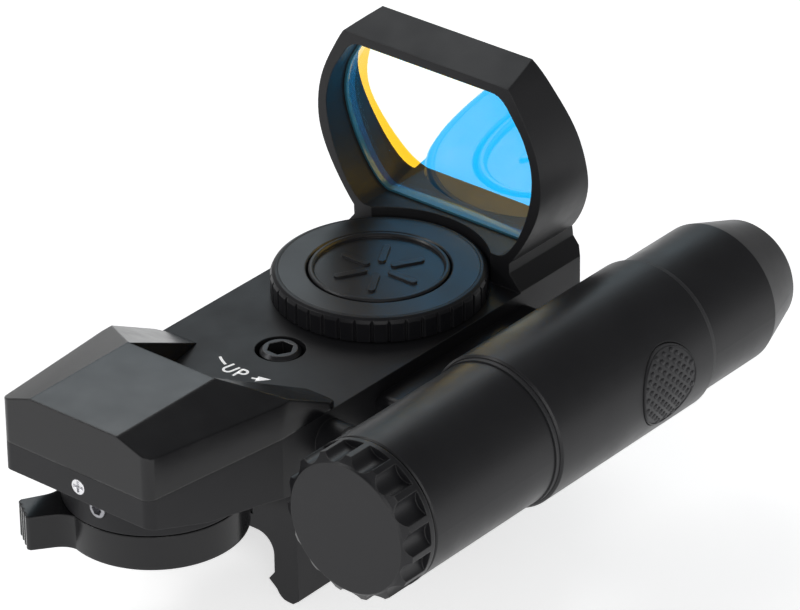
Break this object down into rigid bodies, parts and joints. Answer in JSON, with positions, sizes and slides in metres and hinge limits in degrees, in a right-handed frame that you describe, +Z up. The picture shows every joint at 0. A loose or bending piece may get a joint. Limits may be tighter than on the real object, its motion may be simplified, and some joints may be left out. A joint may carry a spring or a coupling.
{
  "type": "red dot finder",
  "caption": "Rail-mounted open reflex sight with hooded coated lens, brightness dial, reticle selector, zeroing linkage and side laser tube.",
  "frame": {"origin": "middle of the flat rail seat between the clamp jaws", "axes": "+Y along the aiming direction towards the target, +Z up away from the rail, +X towards the side laser"},
  "size_m": [0.0695, 0.1019, 0.0629],
  "materials": {
    "satin_black_alloy": "satin black anodised alloy",
    "black_polymer": "semi-gloss black polymer",
    "dial_alloy": "semi-gloss black anodised",
    "dark_steel": "black oxide steel",
    "windage_alloy": "plain turned alloy",
    "bright_steel": "bright nickel plate",
    "contact_brass": "plain brass",
    "circuit_board": "green solder mask",
    "switch_polymer": "matte moulded",
    "lamp_red": "clear red moulding",
    "seal_rubber": "matte rubber",
    "cell_wrap": "printed film without lettering",
    "lens_glass": "thin-film coated, bluish through, amber by reflection",
    "clear_glass": "polished",
    "disc_glass": "polished with dark print",
    "mirror_coat": "front-silvered"
  },
  "bodies": {
    "mount": {"mount_base": "satin_black_alloy", "clamp_nuts": "dark_steel", "jaw_guide_pins": "dark_steel", "tilt_pin": "dark_steel", "elevation_nut": "dark_steel", "return_spring": "bright_steel"},
    "jaw": {"clamp_jaw": "satin_black_alloy"},
    "bolt_front": {"clamp_bolt_front": "dark_steel"},
    "bolt_rear": {"clamp_bolt_rear": "dark_steel"},
    "cradle": {"cradle": "satin_black_alloy", "yaw_pin": "dark_steel"},
    "sight": {"main_housing": "satin_black_alloy", "rear_cover": "black_polymer", "cover_screw": "bright_steel", "collar_set_screw": "dark_steel", "fold_mirror": "mirror_coat", "mirror_holder": "satin_black_alloy", "emitter_window": "clear_glass", "led_board": "circuit_board", "led_lamp": "lamp_red", "detent_ball": "bright_steel", "reflex_lens": "lens_glass", "lens_bead": "black_polymer", "dial_clip": "bright_steel", "contact_board": "circuit_board", "coin_cell": "bright_steel", "cell_contact": "contact_brass", "laser_body": "satin_black_alloy", "laser_mount_screws": "dark_steel", "laser_rear_tube": "satin_black_alloy", "laser_head": "satin_black_alloy", "tube_seal_rings": "seal_rubber", "laser_cell": "cell_wrap", "cell_spring": "bright_steel", "driver_board": "circuit_board", "tact_switch": "switch_polymer", "laser_module": "contact_brass", "collimator_lens": "clear_glass", "nose_window": "clear_glass", "beam_adjusters": "dark_steel"},
    "elevation_screw": {"elevation_screw": "dark_steel"},
    "windage_screw": {"windage_screw": "windage_alloy"},
    "dial": {"brightness_dial": "dial_alloy", "dial_face": "black_polymer", "dial_wiper": "contact_brass"},
    "battery_seal": {"cap_seal": "seal_rubber"},
    "battery_cap": {"battery_cap": "black_polymer"},
    "selector": {"selector_wheel": "black_polymer", "selector_spindle": "dark_steel", "selector_screw": "dark_steel", "reticle_disc": "disc_glass", "reticle_clip": "bright_steel"},
    "laser_cap_ring": {"laser_cap_seal": "seal_rubber"},
    "laser_cap": {"laser_cap": "satin_black_alloy", "cap_contact": "contact_brass"},
    "laser_button": {"laser_button": "seal_rubber"}
  },
  "joints": [
    {"name": "jaw_slide", "type": "slide", "parent": "mount", "child": "jaw", "axis": [-1, 0, 0], "range_m": [0, 0.0021]},
    {"name": "bolt_front_turn", "type": "hinge", "parent": "jaw", "child": "bolt_front", "pos_m": [-0.015, 0.0145, 0.0037], "axis": [-1, 0, 0], "range_deg": [0, 1081]},
    {"name": "bolt_rear_turn", "type": "hinge", "parent": "jaw", "child": "bolt_rear", "pos_m": [-0.015, -0.0145, 0.0037], "axis": [-1, 0, 0], "range_deg": [0, 1081]},
    {"name": "elevation_tilt", "type": "hinge", "parent": "mount", "child": "cradle", "pos_m": [0, 0.019, 0.0112], "axis": [1, 0, 0], "range_deg": [-1, 1], "deforming": ["return_spring"]},
    {"name": "windage_yaw", "type": "hinge", "parent": "cradle", "child": "sight", "pos_m": [0, 0.0005, 0.0133], "axis": [0, 0, 1], "range_deg": [-1, 1]},
    {"name": "elevation_screw_turn", "type": "hinge", "parent": "sight", "child": "elevation_screw", "pos_m": [0, -0.007, 0.0164], "axis": [0, 0, 1], "range_deg": [-327, 327]},
    {"name": "windage_screw_turn", "type": "hinge", "parent": "sight", "child": "windage_screw", "pos_m": [0.0152, -0.016, 0.0153], "axis": [1, 0, 0], "range_deg": [-208, 208]},
    {"name": "dial_turn", "type": "hinge", "parent": "sight", "child": "dial", "pos_m": [0, 0.0145, 0.0212], "axis": [0, 0, 1], "range_deg": [-150, 150]},
    {"name": "battery_cap_lift", "type": "slide", "parent": "sight", "child": "battery_seal", "axis": [0, 0, 1], "range_m": [0, 0.0024]},
    {"name": "battery_cap_turn", "type": "hinge", "parent": "battery_seal", "child": "battery_cap", "pos_m": [0, 0.0145, 0.0205], "axis": [0, 0, 1], "range_deg": [0, 1081]},
    {"name": "selector_turn", "type": "hinge", "parent": "sight", "child": "selector", "pos_m": [0, -0.0335, 0.0094], "axis": [0, 0, 1], "range_deg": [0, 67.5]},
    {"name": "laser_cap_draw", "type": "slide", "parent": "sight", "child": "laser_cap_ring", "axis": [0, -1, 0], "range_m": [0, 0.004]},
    {"name": "laser_cap_turn", "type": "hinge", "parent": "laser_cap_ring", "child": "laser_cap", "pos_m": [0.03777, -0.0315, 0.01941], "axis": [0, -1, 0], "range_deg": [0, 1441]},
    {"name": "laser_button_press", "type": "slide", "parent": "sight", "child": "laser_button", "axis": [-1, 0, 0], "range_m": [0, 0.0007], "stiffness_N_per_m": 1500}
  ],
  "couplings": [
    {"joint": "bolt_front_turn", "follows": "jaw_slide", "rad_per_m": 8975},
    {"joint": "bolt_rear_turn", "follows": "jaw_slide", "rad_per_m": 8975},
    {"joint": "elevation_screw_turn", "follows": "elevation_tilt", "ratio": 326.7},
    {"joint": "windage_screw_turn", "follows": "windage_yaw", "ratio": 207.3},
    {"joint": "battery_cap_turn", "follows": "battery_cap_lift", "rad_per_m": 7853},
    {"joint": "laser_cap_turn", "follows": "laser_cap_draw", "rad_per_m": 6283}
  ]
}
